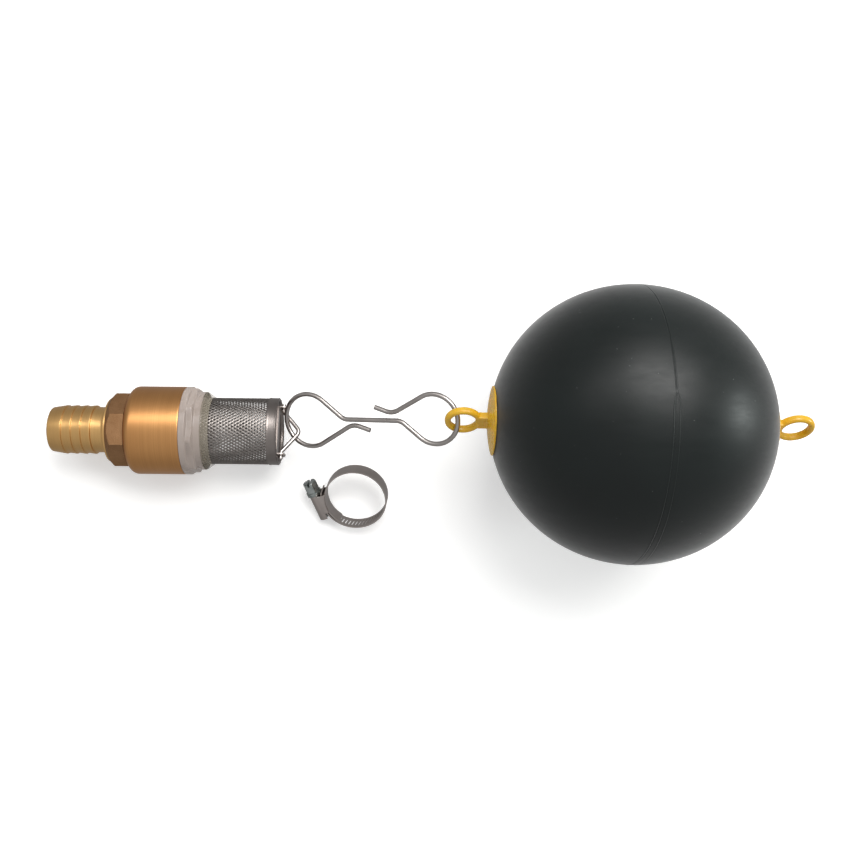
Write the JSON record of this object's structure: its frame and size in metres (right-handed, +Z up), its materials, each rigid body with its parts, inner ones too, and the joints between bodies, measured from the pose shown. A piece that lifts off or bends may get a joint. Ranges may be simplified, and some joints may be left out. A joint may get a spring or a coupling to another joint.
{
  "type": "floating suction intake with check valve",
  "caption": "Floating suction intake: hose tail and spring check valve with a strainer basket, hung by a bail and wire hook from a ball float, with a loose hose clamp.",
  "frame": {"origin": "under the middle of the whole part, on the surface that it lies on", "axes": "+X runs along the line of parts from the hose tail's tip to the far eyelet, +Z is up, away from the surface"},
  "size_m": [0.3943, 0.1384, 0.1385],
  "materials": {
    "turned_brass": "turned, satin",
    "cast_brass": "sand-blasted octagon and turned cylinder",
    "black_rubber": "matt",
    "white_plastic": "moulded",
    "stainless": "bright rolled or drawn",
    "milky_plastic": "translucent, moulded",
    "float_plastic": "satin, blow moulded",
    "yellow_plastic": "moulded",
    "zinc_steel": "zinc plated"
  },
  "bodies": {
    "valve": {"hose_tail": "turned_brass", "tail_o_ring": "black_rubber", "valve_body": "cast_brass", "stem_guide": "white_plastic", "valve_spring": "stainless", "body_o_ring": "black_rubber", "strainer_adaptor": "milky_plastic", "strainer_mesh": "stainless", "strainer_cap": "stainless", "bail_bracket": "stainless"},
    "poppet": {"poppet": "white_plastic", "poppet_seal": "black_rubber", "seal_retainer": "stainless"},
    "bail": {"bail": "stainless"},
    "hook": {"link_hook": "stainless"},
    "float": {"float_shell": "float_plastic", "eyelet_inner": "yellow_plastic", "eyelet_outer": "yellow_plastic"},
    "clamp": {"clamp_band": "stainless", "clamp_housing": "stainless"},
    "clamp_screw": {"clamp_screw": "zinc_steel"}
  },
  "joints": [
    {"name": "poppet_slide", "type": "slide", "parent": "valve", "child": "poppet", "axis": [-1, 0, 0], "range_m": [0, 0.006], "stiffness_N_per_m": 250, "springref_m": -0.008, "deforming": ["valve_spring"]},
    {"name": "bail_swing", "type": "hinge", "parent": "valve", "child": "bail", "pos_m": [-0.07222, -0.007, 0.024], "axis": [0, 0.9135, -0.4067], "range_deg": [-12, 70]},
    {"name": "hook_swing", "type": "hinge", "parent": "bail", "child": "hook", "pos_m": [-0.05693, -0.00052, 0.02937], "axis": [-0.4248, -0.2305, 0.8754], "range_deg": [-30, 40]},
    {"name": "float_swing", "type": "hinge", "parent": "hook", "child": "float", "pos_m": [0.02091, -0.00015, 0.06725], "axis": [-0.0002, 0.9671, 0.2545], "range_deg": [-40, 8]},
    {"name": "clamp_lift", "type": "slide", "parent": "valve", "child": "clamp", "axis": [0, -0.6, 0.8], "range_m": [0, 0.08]},
    {"name": "clamp_screw_turn", "type": "hinge", "parent": "clamp", "child": "clamp_screw", "pos_m": [-0.05207, -0.0502, 0.00622], "axis": [-0.3765, 0.866, 0.3291], "continuous": true}
  ]
}
